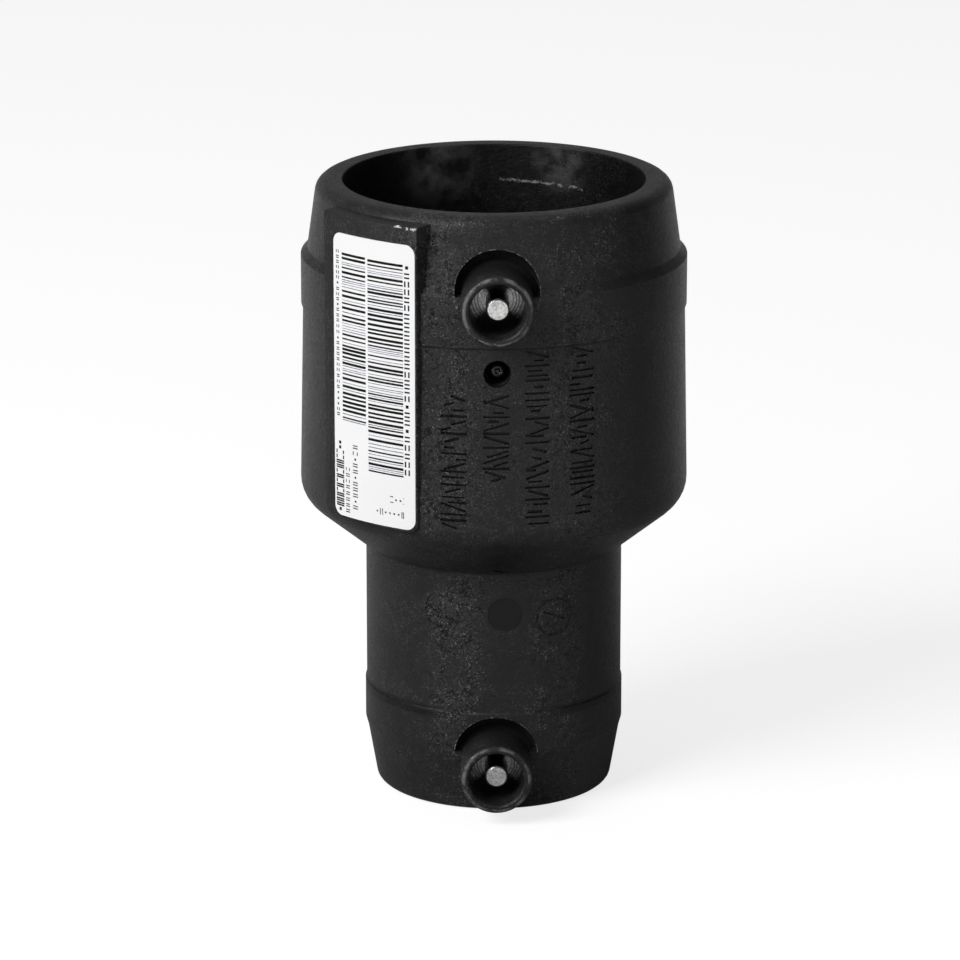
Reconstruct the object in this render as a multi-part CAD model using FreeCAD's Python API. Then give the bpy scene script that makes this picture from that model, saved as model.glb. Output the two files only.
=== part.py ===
# Electrofusion reducer coupler for joining a 50 mm and a 32 mm polyethylene pipe.
# Millimetres, +Z up along the pipe axis. The origin is the centre of the small socket's
# mouth, on which the coupler stands. The two welding terminals face -Y.

import FreeCAD, Part
import math
import os
from collections import namedtuple
from FreeCAD import Vector

# Pipe sockets
LARGE_PIPE_D = 50.0
SMALL_PIPE_D = 32.0
LARGE_PIPE_GAP = 0.25
SMALL_PIPE_GAP = 0.15
LARGE_SOCKET_DEPTH = 48.7
SMALL_SOCKET_DEPTH = 41.0
MIDDLE_LENGTH = 15.0
LARGE_STOP_LEDGE = 4.65
SMALL_STOP_LEDGE = 2.95
THROAT_LENGTH = 3.6

# Terminal places: up from the small mouth, and down from the large mouth
LOWER_TERMINAL_RISE = 8.4
UPPER_TERMINAL_DROP = 13.7

# Outer form of the small end. A wall is measured outwards from the socket's bore.
SMALL_MOUTH_WALL = 3.65
SMALL_MOUTH_ROUND = 1.3
SMALL_TAPER_WALL = 5.3
SMALL_BARREL_WALL = 5.5
COLLAR_PROUD = 0.22
COLLAR_EDGE = 1.5
COLLAR_ABOVE_TERMINAL = 2.5
COLLAR_HEIGHT = 6.9
COLLAR_CHAMFER = 0.25
NECK_ABOVE_SOCKET = 1.2

# Outer form of the large end
SHOULDER_HEIGHT = 8.9
SHOULDER_ROUND = 5.2
LARGE_BARREL_WALL = 6.75
BARREL_DRAFT = 0.65
BAND_PROUD = 0.3
BAND_ABOVE_TERMINAL = 1.1
BAND_HEIGHT = 8.4
BAND_CHAMFER = 0.3
BAND_EDGE = 1.2
BAND_EDGE_INSET = 1.12
RIM_WALL = 4.35
RIM_ROUND = 2.1

# Shrouds of the terminals, and the pockets above them for the welding plug
SHROUD_R = 5.95
SHROUD_EDGE_CHAMFER = 0.5
SHROUD_BORE_R = 4.55
SHROUD_LIP_CHAMFER = 0.35
SHROUD_DEPTH = 8.9
SHROUD_ROOT_FLARE = 1.0
SHROUD_ROOT_WALL = 0.5
POCKET_R = 6.95
POCKET_RISE = 1.75
POCKET_FLOOR_WALL = 2.75

# Contact pins
PIN_D = 4.0
PIN_RECESS = 1.9
PIN_TIP_CHAMFER = 0.27
FLANGE_THICKNESS = 0.9
FLANGE_STEP_R = 3.3
FLANGE_STEP = 0.3
UPPER_FLANGE_WALL = 1.125
LOWER_FLANGE_WALL = 1.64
CRIMP_DEPTH = 1.3
CRIMP_GAP = 0.015
STEM_WALL = 0.62

# Heating wire: one continuous wire, wound in the two sockets
WIRE_RADIAL = 0.74
WIRE_AXIAL = 0.8
WIRE_GAP = 0.03
WIRE_INSET = 0.04
SEAT_MARGIN = 0.5
LARGE_PITCH = 2.3
LARGE_WHOLE_TURNS = 8
SMALL_PITCH = 2.2
SMALL_WHOLE_TURNS = 6
WIRE_FLATS = 10
LINK_WALL = 1.4

# Fusion indicator
INDICATOR_BELOW_TERMINAL = 11.6
INDICATOR_HOLE_R = 2.05
INDICATOR_FLARE = 0.55
INDICATOR_FLOOR_WALL = 1.725
INDICATOR_GAP = 0.1
INDICATOR_LENGTH = 2.0
INDICATOR_TIP_R = 1.1
INDICATOR_TIP_RISE = 0.7

# Label pad and label
PAD_ANGLE = -40.6
PAD_WIDTH = 19.9
PAD_CURVE_R = 44.6
PAD_PROUD = 0.45
PAD_ABOVE_SHOULDER = 0.8
PAD_BELOW_MOUTH = 1.3
PAD_CORNER_R = 1.6
PAD_ROOT_WALL = 2.25
LABEL_LEFT_MARGIN = 2.6
LABEL_RIGHT_MARGIN = 0.3
LABEL_FOOT_MARGIN = 0.5
LABEL_TOP_MARGIN = 3.0
LABEL_CORNER_R = 1.7
LABEL_THICKNESS = 0.12

# How far a cutting shape runs past the face that it opens
CUT_MARGIN = 1.0

# Flats that stand for a quarter circle of an edge round
FLATS = 2

# Radii and heights that follow
LARGE_BORE_R = LARGE_PIPE_D / 2 + LARGE_PIPE_GAP
SMALL_BORE_R = SMALL_PIPE_D / 2 + SMALL_PIPE_GAP
THROAT_TOP = SMALL_SOCKET_DEPTH + THROAT_LENGTH
LARGE_STOP_Z = SMALL_SOCKET_DEPTH + MIDDLE_LENGTH
LENGTH = LARGE_STOP_Z + LARGE_SOCKET_DEPTH
LOWER_TERMINAL_Z = LOWER_TERMINAL_RISE
UPPER_TERMINAL_Z = LENGTH - UPPER_TERMINAL_DROP
SMALL_BARREL_R = SMALL_BORE_R + SMALL_BARREL_WALL
COLLAR_R = SMALL_BARREL_R + COLLAR_PROUD
COLLAR_BOTTOM = LOWER_TERMINAL_Z + COLLAR_ABOVE_TERMINAL
NECK_Z = SMALL_SOCKET_DEPTH + NECK_ABOVE_SOCKET
SHOULDER_Z = NECK_Z + SHOULDER_HEIGHT
LARGE_BARREL_R = LARGE_BORE_R + LARGE_BARREL_WALL
BAND_R = LARGE_BARREL_R + BAND_PROUD
BAND_TOP = UPPER_TERMINAL_Z + BAND_ABOVE_TERMINAL
PAD_FACE_R = BAND_R + PAD_PROUD
PAD_BOTTOM = SHOULDER_Z + PAD_ABOVE_SHOULDER
PAD_TOP = LENGTH - PAD_BELOW_MOUTH

# The coil's flats clear the bore at their middles and fit the seat at their corners.
FLAT_CLEARANCE = 1 / math.cos(math.pi / WIRE_FLATS / 2)
LARGE_WIRE_R = (LARGE_BORE_R + WIRE_INSET) * FLAT_CLEARANCE
SMALL_WIRE_R = (SMALL_BORE_R + WIRE_INSET) * FLAT_CLEARANCE
LARGE_SEAT_R = LARGE_WIRE_R + WIRE_RADIAL + WIRE_GAP
SMALL_SEAT_R = SMALL_WIRE_R + WIRE_RADIAL + WIRE_GAP
LARGE_HALF_TURNS = 2 * LARGE_WHOLE_TURNS + 1
SMALL_HALF_TURNS = 2 * SMALL_WHOLE_TURNS + 1
LARGE_COIL_END = UPPER_TERMINAL_Z - LARGE_PITCH * LARGE_HALF_TURNS / 2
SMALL_COIL_END = LOWER_TERMINAL_Z + SMALL_PITCH * SMALL_HALF_TURNS / 2

# Each terminal's height on the pipe axis, and its places outwards from the pipe axis
Terminal = namedtuple("Terminal", "height seat_r back floor front pocket_floor pocket_foot surface")


def terminal(height, seat_r, flange_wall, pocket_floor, pocket_foot, surface):
    back = seat_r + flange_wall
    floor = back + FLANGE_THICKNESS
    front = floor + SHROUD_DEPTH
    return Terminal(height, seat_r, back, floor, front, pocket_floor, pocket_foot, surface)


UPPER_FLOOR = LARGE_BORE_R + POCKET_FLOOR_WALL
LOWER_FLOOR = SMALL_BORE_R + POCKET_FLOOR_WALL
UPPER = terminal(UPPER_TERMINAL_Z, LARGE_SEAT_R, UPPER_FLANGE_WALL, UPPER_FLOOR, BAND_TOP, BAND_R)
LOWER = terminal(LOWER_TERMINAL_Z, SMALL_SEAT_R, LOWER_FLANGE_WALL, LOWER_FLOOR, COLLAR_BOTTOM, COLLAR_R)

X = Vector(1, 0, 0)
Y = Vector(0, 1, 0)
Z = Vector(0, 0, 1)
ORIGIN = Vector(0, 0, 0)


def rounded_wire(points, place):
    """A closed outline. A point's third number is its corner's radius, made as a run of flats."""
    vertices = []
    for i, (u, v, *rest) in enumerate(points):
        corner = place(u, v)
        radius = rest[0] if rest else 0.0
        if radius <= 0:
            vertices.append(corner)
            continue
        before = place(*points[i - 1][:2]) - corner
        after = place(*points[(i + 1) % len(points)][:2]) - corner
        half = before.getAngle(after) / 2
        before.normalize()
        after.normalize()
        middle = before + after
        middle.normalize()
        centre = corner + middle * (radius / math.sin(half))
        start = corner + before * (radius / math.tan(half)) - centre
        sweep = math.pi - 2 * half
        axis = before.cross(after)
        flats = max(1, math.ceil(FLATS * sweep / (math.pi / 2)))
        for k in range(flats + 1):
            spoke = FreeCAD.Rotation(axis, -math.degrees(sweep) * k / flats).multVec(start)
            vertices.append(centre + spoke)
    return Part.makePolygon(vertices + vertices[:1])


def turned(points, place, centre, axis):
    """A solid of revolution from an outline."""
    return Part.Face(rounded_wire(points, place)).revolve(centre, axis, 360)


def radial_section(r, z):
    return Vector(r, 0, z)


def outer_form():
    """The moulding's outer form, solid inside."""
    return turned([
        (0, 0),
        (SMALL_BORE_R + SMALL_MOUTH_WALL, 0, SMALL_MOUTH_ROUND),
        (SMALL_BORE_R + SMALL_TAPER_WALL, COLLAR_BOTTOM - COLLAR_EDGE),
        (COLLAR_R, COLLAR_BOTTOM),
        (COLLAR_R, COLLAR_BOTTOM + COLLAR_HEIGHT - COLLAR_CHAMFER),
        (SMALL_BARREL_R, COLLAR_BOTTOM + COLLAR_HEIGHT),
        (SMALL_BARREL_R, NECK_Z),
        (LARGE_BARREL_R + BARREL_DRAFT, SHOULDER_Z, SHOULDER_ROUND),
        (LARGE_BARREL_R, BAND_TOP - BAND_HEIGHT - BAND_CHAMFER),
        (BAND_R, BAND_TOP - BAND_HEIGHT),
        (BAND_R, BAND_TOP),
        (BAND_R - BAND_EDGE_INSET, BAND_TOP + BAND_EDGE),
        (LARGE_BORE_R + RIM_WALL, LENGTH, RIM_ROUND),
        (0, LENGTH),
    ], radial_section, ORIGIN, Z)


def inner_form():
    """The space inside: two pipe sockets, their coil seats, and the waterway between."""
    margin = WIRE_AXIAL / 2 + SEAT_MARGIN
    small_waterway_r = SMALL_BORE_R - SMALL_STOP_LEDGE
    large_waterway_r = LARGE_BORE_R - LARGE_STOP_LEDGE
    return turned([
        (0, 0),
        (SMALL_BORE_R, 0),
        (SMALL_BORE_R, LOWER_TERMINAL_Z - margin),
        (SMALL_SEAT_R, LOWER_TERMINAL_Z - margin),
        (SMALL_SEAT_R, SMALL_COIL_END + margin),
        (SMALL_BORE_R, SMALL_COIL_END + margin),
        (SMALL_BORE_R, SMALL_SOCKET_DEPTH),
        (small_waterway_r, SMALL_SOCKET_DEPTH),
        (small_waterway_r, THROAT_TOP),
        (large_waterway_r, LARGE_STOP_Z),
        (LARGE_BORE_R, LARGE_STOP_Z),
        (LARGE_BORE_R, LARGE_COIL_END - margin),
        (LARGE_SEAT_R, LARGE_COIL_END - margin),
        (LARGE_SEAT_R, UPPER_TERMINAL_Z + margin),
        (LARGE_BORE_R, UPPER_TERMINAL_Z + margin),
        (LARGE_BORE_R, LENGTH),
        (0, LENGTH),
    ], radial_section, ORIGIN, Z)


def terminal_solid(points, height):
    """A turned part from distances out from the terminal's axis and out from the pipe's."""
    return turned(points, lambda r, out: Vector(r, -out, height), Vector(0, 0, height), Y)


def shroud(t):
    """The round shroud, solid, with a flare where it meets the pocket's floor."""
    root_r = SHROUD_R + SHROUD_ROOT_FLARE
    return terminal_solid([
        (0, t.seat_r + SHROUD_ROOT_WALL),
        (root_r, t.seat_r + SHROUD_ROOT_WALL),
        (root_r, t.pocket_floor),
        (SHROUD_R, t.pocket_floor + SHROUD_ROOT_FLARE),
        (SHROUD_R, t.front - SHROUD_EDGE_CHAMFER),
        (SHROUD_R - SHROUD_EDGE_CHAMFER, t.front),
        (0, t.front),
    ], t.height)


def crimp_hole_radius():
    """The hole that the square wire's corners just clear."""
    return WIRE_AXIAL / math.sqrt(2) + CRIMP_GAP


def stem_radius():
    return crimp_hole_radius() + STEM_WALL


def shroud_space(t):
    """The space in the shroud, with the pin's flange seat and stem hole behind it."""
    lip_r = SHROUD_BORE_R + SHROUD_LIP_CHAMFER
    return terminal_solid([
        (0, t.seat_r - WIRE_RADIAL),
        (stem_radius(), t.seat_r - WIRE_RADIAL),
        (stem_radius(), t.back),
        (SHROUD_BORE_R, t.back),
        (SHROUD_BORE_R, t.front - SHROUD_LIP_CHAMFER),
        (lip_r, t.front),
        (lip_r, t.front + CUT_MARGIN),
        (0, t.front + CUT_MARGIN),
    ], t.height)


def pocket(t):
    """The arched pocket above a shroud that the welding plug's nose enters."""
    reach = t.surface + CUT_MARGIN
    depth = reach - t.pocket_floor
    centre_z = t.height + POCKET_RISE
    arch = Part.makeCylinder(POCKET_R, depth, Vector(0, -reach, centre_z), Y)
    below = Part.makeBox(2 * POCKET_R, depth, POCKET_R, Vector(-POCKET_R, -reach, centre_z - POCKET_R))
    above_foot = Part.makeBox(2 * POCKET_R, reach, 2 * POCKET_R, Vector(-POCKET_R, -reach, t.pocket_foot))
    return arch.fuse(below).common(above_foot)


def contact_pin(t):
    """A turned contact: pin, flange that floors the shroud, stem with a crimp hole for the wire."""
    end = t.seat_r + 2 * WIRE_GAP
    tip = t.front - PIN_RECESS
    pin_r = PIN_D / 2
    return terminal_solid([
        (0, end + CRIMP_DEPTH),
        (crimp_hole_radius(), end + CRIMP_DEPTH),
        (crimp_hole_radius(), end),
        (stem_radius(), end),
        (stem_radius(), t.back),
        (SHROUD_BORE_R, t.back),
        (SHROUD_BORE_R, t.floor - FLANGE_STEP),
        (FLANGE_STEP_R, t.floor - FLANGE_STEP),
        (FLANGE_STEP_R, t.floor),
        (pin_r, t.floor),
        (pin_r, tip - PIN_TIP_CHAMFER),
        (pin_r - PIN_TIP_CHAMFER, tip),
        (0, tip),
    ], t.height)


def pad_panel(left, bottom, right, top, foot_round, top_round):
    """A flat rounded rectangle seen from the front, as a prism through the large end's wall."""
    outline = rounded_wire([
        (left, bottom, foot_round),
        (right, bottom, foot_round),
        (right, top, top_round),
        (left, top, top_round),
    ], lambda x, z: Vector(x, -(PAD_FACE_R + CUT_MARGIN), z))
    depth = PAD_FACE_R + CUT_MARGIN - LARGE_BORE_R - PAD_ROOT_WALL
    return Part.Face(outline).extrude(Y * depth)


def pad_cylinder(radius):
    """The large cylinder whose surface is the gently curved face of the label pad."""
    return Part.makeCylinder(radius, LENGTH, Vector(0, PAD_CURVE_R - PAD_FACE_R, 0), Z)


def turned_to_pad(shape):
    """Turns a shape that was made facing -Y to the label pad's side of the large end."""
    return shape.rotated(ORIGIN, Z, PAD_ANGLE)


def label_pad():
    panel = pad_panel(-PAD_WIDTH / 2, PAD_BOTTOM, PAD_WIDTH / 2, PAD_TOP, PAD_CORNER_R, 0)
    return turned_to_pad(panel.common(pad_cylinder(PAD_CURVE_R)))


def label():
    """The film label on the pad's face."""
    left = LABEL_LEFT_MARGIN - PAD_WIDTH / 2
    right = PAD_WIDTH / 2 - LABEL_RIGHT_MARGIN
    bottom = PAD_BOTTOM + LABEL_FOOT_MARGIN
    top = PAD_TOP - LABEL_TOP_MARGIN
    panel = pad_panel(left, bottom, right, top, LABEL_CORNER_R, LABEL_CORNER_R)
    film = pad_cylinder(PAD_CURVE_R + LABEL_THICKNESS).cut(pad_cylinder(PAD_CURVE_R))
    return turned_to_pad(panel.common(film))


def coil(inner_r, start, pitch, half_turns):
    """A coil of half rings in short flats, each tilted to climb half a pitch from front to back."""
    rings = []
    side = -1
    for i in range(half_turns):
        centre = Z * (start + pitch * (2 * i + 1) / 4)
        begin = Vector(0, side * (inner_r + WIRE_RADIAL / 2), -pitch / 4)
        normal = X.cross(begin) * side
        normal.normalize()
        begin.normalize()
        foot = centre - normal * (WIRE_AXIAL / 2)
        outline = []
        for k in range(WIRE_FLATS + 1):
            spoke = FreeCAD.Rotation(normal, 180 * k / WIRE_FLATS).multVec(begin)
            outline.insert(0, foot + spoke * inner_r)
            outline.append(foot + spoke * (inner_r + WIRE_RADIAL))
        ring = Part.Face(Part.makePolygon(outline + outline[:1]))
        rings.append(ring.extrude(normal * WIRE_AXIAL))
        side = -side
    return rings


def wire_run(route):
    """A square run of the wire along points that lie in the plane x = 0."""
    half = WIRE_AXIAL / 2
    start = route[0]
    across = (route[1] - start).cross(X)
    across.normalize()
    corners = [start + X * half + across * half, start - X * half + across * half]
    corners += [start - X * half - across * half, start + X * half - across * half]
    profile = Part.makePolygon(corners + corners[:1])
    return Part.makePolygon(route).makePipeShell([profile], True, False, 1)


def link():
    """The run in the wall at the back that joins the two coils."""
    upper_in = LARGE_WIRE_R + WIRE_RADIAL / 2
    lower_in = SMALL_WIRE_R + WIRE_RADIAL / 2
    upper_out = LARGE_SEAT_R + LINK_WALL
    lower_out = SMALL_SEAT_R + LINK_WALL
    return wire_run([
        Vector(0, upper_in, LARGE_COIL_END),
        Vector(0, upper_out, LARGE_COIL_END),
        Vector(0, upper_out, LARGE_STOP_Z),
        Vector(0, lower_out, THROAT_TOP),
        Vector(0, lower_out, SMALL_COIL_END),
        Vector(0, lower_in, SMALL_COIL_END),
    ])


def crimp_lead(t):
    """The coil's end, turned outwards into its contact pin."""
    start = Vector(0, -(t.seat_r - WIRE_GAP - WIRE_RADIAL / 2), t.height)
    end = Vector(0, -(t.seat_r + CRIMP_DEPTH), t.height)
    return wire_run([start, end])


def heating_wire():
    # The large coil is wound down from its terminal and the small coil up from its own.
    large = coil(LARGE_WIRE_R, UPPER_TERMINAL_Z, -LARGE_PITCH, LARGE_HALF_TURNS)
    small = coil(SMALL_WIRE_R, LOWER_TERMINAL_Z, SMALL_PITCH, SMALL_HALF_TURNS)
    pieces = large + small + [link(), crimp_lead(UPPER), crimp_lead(LOWER)]
    return pieces[0].multiFuse(pieces[1:])


def indicator_hole():
    """The blind hole of the fusion indicator, with a small countersink."""
    rim_r = INDICATOR_HOLE_R + INDICATOR_FLARE
    foot = LARGE_SEAT_R + INDICATOR_FLOOR_WALL
    return terminal_solid([
        (0, foot),
        (INDICATOR_HOLE_R, foot),
        (INDICATOR_HOLE_R, LARGE_BARREL_R - INDICATOR_FLARE),
        (rim_r, LARGE_BARREL_R),
        (rim_r, LARGE_BARREL_R + CUT_MARGIN),
        (0, LARGE_BARREL_R + CUT_MARGIN),
    ], UPPER_TERMINAL_Z - INDICATOR_BELOW_TERMINAL)


def fusion_indicator():
    """The plastic pin that rises in its hole when the joint is fused."""
    foot = LARGE_SEAT_R + INDICATOR_FLOOR_WALL
    tip = foot + INDICATOR_LENGTH
    pin_r = INDICATOR_HOLE_R - INDICATOR_GAP
    return terminal_solid([
        (0, foot),
        (pin_r, foot),
        (pin_r, tip - INDICATOR_TIP_RISE),
        (INDICATOR_TIP_R, tip - INDICATOR_TIP_RISE),
        (INDICATOR_TIP_R, tip),
        (0, tip),
    ], UPPER_TERMINAL_Z - INDICATOR_BELOW_TERMINAL)


def body():
    """The one-piece moulding."""
    solid = outer_form().fuse(label_pad())
    solid = solid.cut([pocket(UPPER), pocket(LOWER)])
    solid = solid.fuse([shroud(UPPER), shroud(LOWER)])
    return solid.cut([inner_form(), link(), indicator_hole(), shroud_space(UPPER), shroud_space(LOWER)])


def main():
    os.makedirs("parts", exist_ok=True)
    nodes = {
        "body": body(),
        "upper_contact_pin": contact_pin(UPPER),
        "lower_contact_pin": contact_pin(LOWER),
        "heating_wire": heating_wire(),
        "fusion_indicator": fusion_indicator(),
        "label": label(),
    }
    for name, shape in nodes.items():
        shape.exportStep("parts/" + name + ".step")
        print(name, "solids", len(shape.Solids), "volume", round(shape.Volume, 1), "valid", shape.isValid())


main()
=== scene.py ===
# The looks of an electrofusion reducer coupler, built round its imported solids.
import math
import random

import bpy
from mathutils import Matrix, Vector


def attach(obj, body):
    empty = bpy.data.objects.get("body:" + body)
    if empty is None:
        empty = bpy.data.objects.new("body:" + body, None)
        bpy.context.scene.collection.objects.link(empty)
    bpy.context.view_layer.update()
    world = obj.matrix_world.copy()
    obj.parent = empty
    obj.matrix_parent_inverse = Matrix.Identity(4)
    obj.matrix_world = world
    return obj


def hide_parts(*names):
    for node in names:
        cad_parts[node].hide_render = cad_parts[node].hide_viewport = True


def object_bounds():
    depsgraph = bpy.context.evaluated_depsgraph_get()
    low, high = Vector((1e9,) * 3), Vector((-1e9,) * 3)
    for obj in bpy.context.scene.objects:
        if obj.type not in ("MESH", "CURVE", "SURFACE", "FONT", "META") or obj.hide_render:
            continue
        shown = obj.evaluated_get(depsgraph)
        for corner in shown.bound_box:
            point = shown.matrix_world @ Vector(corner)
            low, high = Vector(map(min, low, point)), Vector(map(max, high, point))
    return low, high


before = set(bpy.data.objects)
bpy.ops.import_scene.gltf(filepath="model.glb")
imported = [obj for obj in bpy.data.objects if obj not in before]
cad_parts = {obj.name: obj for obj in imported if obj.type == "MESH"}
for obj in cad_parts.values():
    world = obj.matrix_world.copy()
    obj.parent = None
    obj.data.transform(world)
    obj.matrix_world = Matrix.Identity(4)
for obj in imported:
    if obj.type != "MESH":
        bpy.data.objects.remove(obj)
cad_low, cad_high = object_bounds()

MM = 0.001
BODY = "root"

# Form of the moulding, in millimetres
LENGTH = cad_high.z / MM
LARGE_BORE_R = 25.25
SMALL_BORE_R = 16.15
LARGE_SEAT_R = 26.375
SMALL_SEAT_R = 17.16
LARGE_SEAT = (70.55, 91.9)
SMALL_SEAT = (7.5, 23.6)
SMALL_STOP_Z = 41.0
LARGE_STOP_Z = 56.0
THROAT_Z = 44.6
LARGE_WATERWAY_R = 20.6
SMALL_WATERWAY_R = 13.2
SMALL_MOUTH_R = 19.8
COLLAR_CHAMFER_R = 21.45
COLLAR_CHAMFER_Z = 9.4
COLLAR_R = 21.87
COLLAR_BOTTOM = 10.9
COLLAR_TOP = 17.62
SMALL_BARREL_R = 21.65
SMALL_BARREL_FOOT = 17.85
NECK_Z = 42.2
SHOULDER_R = 32.65
SHOULDER_Z = 51.1
BARREL_R = 32.0
BARREL_TOP = 83.4
BAND_R = 32.3
BAND_FOOT = 83.72
BAND_TOP = 92.1
RIM_FOOT_R = 31.18
RIM_FOOT_Z = 93.3
RIM_R = 29.6
PAD_FACE_R = 32.75
PAD_CURVE_R = 44.6
PAD_ANGLE = math.radians(-40.6)
PAD_WIDTH = 19.9
PAD_FOOT = 51.9
PAD_TOP = 103.4
PAD_ROOT_R = 27.5
PAD_CORNER_R = 1.6
PAD_EDGE = 0.22
CURVE_SEGMENTS = 720

# Chips in the pad's top edge: place along it and two tilts
CHIPS = ((6.9, 0.75, 0.25), (8.5, 0.6, -0.3))
CHIP_SIZE = (1.5, 0.7, 0.7)
CHIP_Y = -32.2

# Label, terminals, indicator and wire, in millimetres
LABEL_LEFT = -7.35
LABEL_RIGHT = 9.65
LABEL_FOOT = 52.4
LABEL_TOP = 100.4
LABEL_CORNER_R = 1.7
LABEL_THICKNESS = 0.12
PRINT_THICKNESS = 0.012
SHROUD_R = 5.95
SHROUD_BORE_R = 4.55
POCKET_R = 6.95
POCKET_RISE = 1.75
INDICATOR_Z = 79.4
INDICATOR_FOOT = 28.1
INDICATOR_SPACE_R = 2.2
PIN_R = 1.9
PIN_RECESS = 1.9
WIRE_R = 0.38
LARGE_PITCH = -2.3
LARGE_TURNS = 8.5
SMALL_PITCH = 2.2
SMALL_TURNS = 6.5
LINK_LARGE_R = 27.78
LINK_SMALL_R = 18.56
LEAD = 1.5
LEAD_BEND = 0.6
WIRE_BEND = 0.7

# Terminals: height, flange back, flange front, shroud front, pocket floor, pocket foot, root
UPPER = dict(z=91.0, back=27.5, floor=28.4, front=37.3, pocket_floor=28.0, foot=BAND_TOP, root=26.9,
             stem_end=26.435, coil_r=25.78)
LOWER = dict(z=8.4, back=18.8, floor=19.7, front=28.6, pocket_floor=18.9, foot=COLLAR_BOTTOM, root=17.7,
             stem_end=17.222, coil_r=16.62)

# Strokes let into the barrel: middle of the column in degrees from the front, width, top, bottom
STROKE_COLUMNS = (
    (-12.7, 4.4, 75.2, 53.6),
    (-0.3, 4.3, 75.2, 61.3),
    (11.7, 4.1, 82.6, 53.6),
    (25.5, 4.6, 82.6, 55.0),
)
STROKE_DEPTH = 0.34
STROKE_LINE = 0.38
STROKE_FOOT = 50

# Rounds let into the small barrel: radius, degrees from the front, height, depth
ROUNDS = ((2.9, 3.95, 35.1, 0.22), (3.15, -24.5, 35.4, 0.14))

# Lines let into the small barrel: degrees from the front, height, length, tilt
HANDS = ((-26.0, 34.8, 4.6, 0.49), (27.0, 34.3, 4.2, 0.42), (0.84, 43.0, 1.8, 0.2))
HAND_LINE = 0.24
HAND_DEPTH = 0.34

# Print on the label: left, right, top and bottom of each column, and a tick cell's height, line and gap
BAR_COLUMNS = ((-5.3, 0.0, 97.2, 68.6), (0.5, 7.5, 97.05, 60.9))
TICK_COLUMNS = (
    (-6.7, -6.05, 97.5, 68.5, 0.5, 0.17, 0.42),
    (7.75, 8.7, 97.1, 60.8, 0.95, 0.27, 0.42),
    (-6.95, -5.1, 65.2, 53.0, 0.62, 0.26, 0.2),
    (-4.65, -3.75, 60.9, 52.9, 0.55, 0.17, 0.5),
    (-3.0, -1.9, 65.0, 53.3, 0.6, 0.18, 0.42),
)
DARK_LINES = (0.26, 0.34, 0.42)
PALE_LINES = (0.11, 0.15)
BAR_GAPS = (0.2, 0.28, 0.34, 0.44)
DARK_SHARE = 0.6

# Rows of cells at the label's foot: left, right, top, bottom
FOOT_ROWS = ((4.9, 7.55, 57.7, 56.6), (2.0, 7.55, 55.3, 54.2))
FOOT_CELL = 0.6
FOOT_STEP = 0.85
FOOT_LINE = 0.15

# Mesh fineness
ROUND_STEPS = 5
BODY_SEGMENTS = 288
SHROUD_SEGMENTS = 128
MERGE = 0.002 * MM

# Camera of the photograph, and the studio's levels by degrees from the front to +X
CAMERA_PLACE = (-0.01538, -0.86357, 0.3051)
CAMERA_TILT = math.radians(73.678)
CAMERA_TURN = math.radians(-0.865)
CAMERA_LENS = 199.37
STUDIO_LEVELS = (
    (-180, 0.8), (-110, 0.8), (-80, 0.4), (-35, 1.0), (0, 0.9), (25, 1.3), (48, 1.6),
    (72, 0.6), (92, 0.08), (115, 0.15), (140, 0.6), (180, 0.8),
)


def deselect():
    bpy.ops.object.select_all(action="DESELECT")


def activate(piece):
    deselect()
    piece.select_set(True)
    bpy.context.view_layer.objects.active = piece


def rounded(points):
    """Outline points in order. A point's third number is the radius of its corner's arc."""
    made = []
    for i, (r, z, *rest) in enumerate(points):
        radius = rest[0] if rest else 0
        if not radius:
            made.append((r, z))
            continue
        corner = Vector((r, z))
        before = (Vector(points[i - 1][:2]) - corner).normalized()
        after = (Vector(points[(i + 1) % len(points)][:2]) - corner).normalized()
        half = before.angle(after) / 2
        centre = corner + (before + after).normalized() * (radius / math.sin(half))
        start = corner + before * (radius / math.tan(half)) - centre
        turn = before.x * after.y - before.y * after.x
        sweep = math.copysign(math.pi - 2 * half, -turn)
        for k in range(ROUND_STEPS + 1):
            angle = sweep * k / ROUND_STEPS
            made.append((centre.x + start.x * math.cos(angle) - start.y * math.sin(angle),
                         centre.y + start.x * math.sin(angle) + start.y * math.cos(angle)))
    return made


def drawn_chain(name, points):
    """One vertex, extruded from point to point in millimetres."""
    deselect()
    bpy.ops.mesh.primitive_circle_add(vertices=3, radius=MM, location=Vector(points[0]) * MM)
    piece = bpy.context.active_object
    piece.name = name
    bpy.ops.object.transform_apply(location=True, rotation=True, scale=True)
    bpy.ops.object.mode_set(mode="EDIT")
    bpy.ops.mesh.select_mode(type="VERT")
    bpy.ops.mesh.select_all(action="SELECT")
    bpy.ops.mesh.merge(type="CENTER")
    for last, point in zip(points, points[1:]):
        step = (Vector(point) - Vector(last)) * MM
        bpy.ops.mesh.extrude_vertices_move(TRANSFORM_OT_translate={"value": step})
    return piece


def turned(name, outline, segments, height=None):
    """Spins an outline of (radius, height) round the pipe axis, or of (radius, reach) round a terminal's."""
    if height is None:
        points = [(r, 0, z) for r, z in outline]
        axis, centre = (0, 0, 1), (0, 0, 0)
    else:
        points = [(0, -out, height + r) for r, out in outline]
        axis, centre = (0, 1, 0), (0, 0, height * MM)
    piece = drawn_chain(name, points)
    bpy.ops.mesh.select_all(action="SELECT")
    bpy.ops.mesh.spin(steps=segments, angle=2 * math.pi, center=centre, axis=axis)
    bpy.ops.mesh.select_all(action="SELECT")
    bpy.ops.mesh.remove_doubles(threshold=MERGE)
    bpy.ops.mesh.normals_make_consistent(inside=False)
    bpy.ops.object.mode_set(mode="OBJECT")
    return piece


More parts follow.
